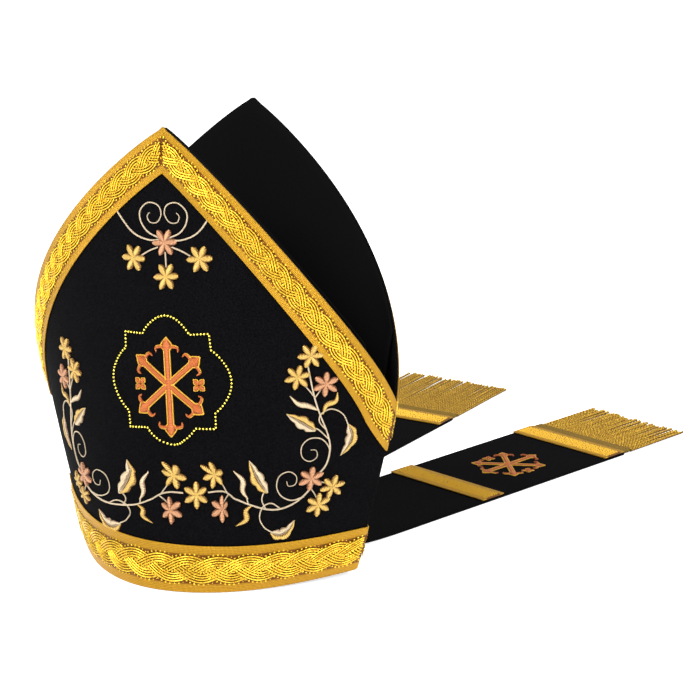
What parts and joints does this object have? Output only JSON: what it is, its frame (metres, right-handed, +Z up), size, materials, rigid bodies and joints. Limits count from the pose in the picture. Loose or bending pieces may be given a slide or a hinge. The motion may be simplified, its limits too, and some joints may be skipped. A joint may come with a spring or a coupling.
{
  "type": "bishop mitre",
  "caption": "Tall two-horned ceremonial hat of stiffened black velvet with gold braid borders and two fringed lappets.",
  "frame": {"origin": "middle of the whole outline, lappets included, on the surface that the rim and the lappets rest on", "axes": "+Z up, the front panel faces -Y, the lappets run toward +Y, +X is toward the right lappet"},
  "size_m": [0.3196, 0.5172, 0.3001],
  "materials": {
    "velvet": "short black velvet pile",
    "satin": "smooth black satin",
    "galloon": "woven metallic gold braid",
    "heading": "dull gold woven heading",
    "fringe": "twisted metallic gold cords"
  },
  "bodies": {
    "root": {"front_panel": "velvet", "back_panel": "velvet", "front_rim_braid": "galloon", "back_rim_braid": "galloon", "front_gable_braid": "galloon", "back_gable_braid": "galloon", "front_gusset": "satin", "back_gusset": "satin", "lappet_right": "velvet", "lappet_right_stripe_1": "galloon", "lappet_right_stripe_2": "galloon", "lappet_right_fringe_heading": "heading", "lappet_right_fringe": "fringe", "lappet_left": "velvet", "lappet_left_stripe_1": "galloon", "lappet_left_stripe_2": "galloon", "lappet_left_fringe_heading": "heading", "lappet_left_fringe": "fringe"}
  },
  "joints": []
}
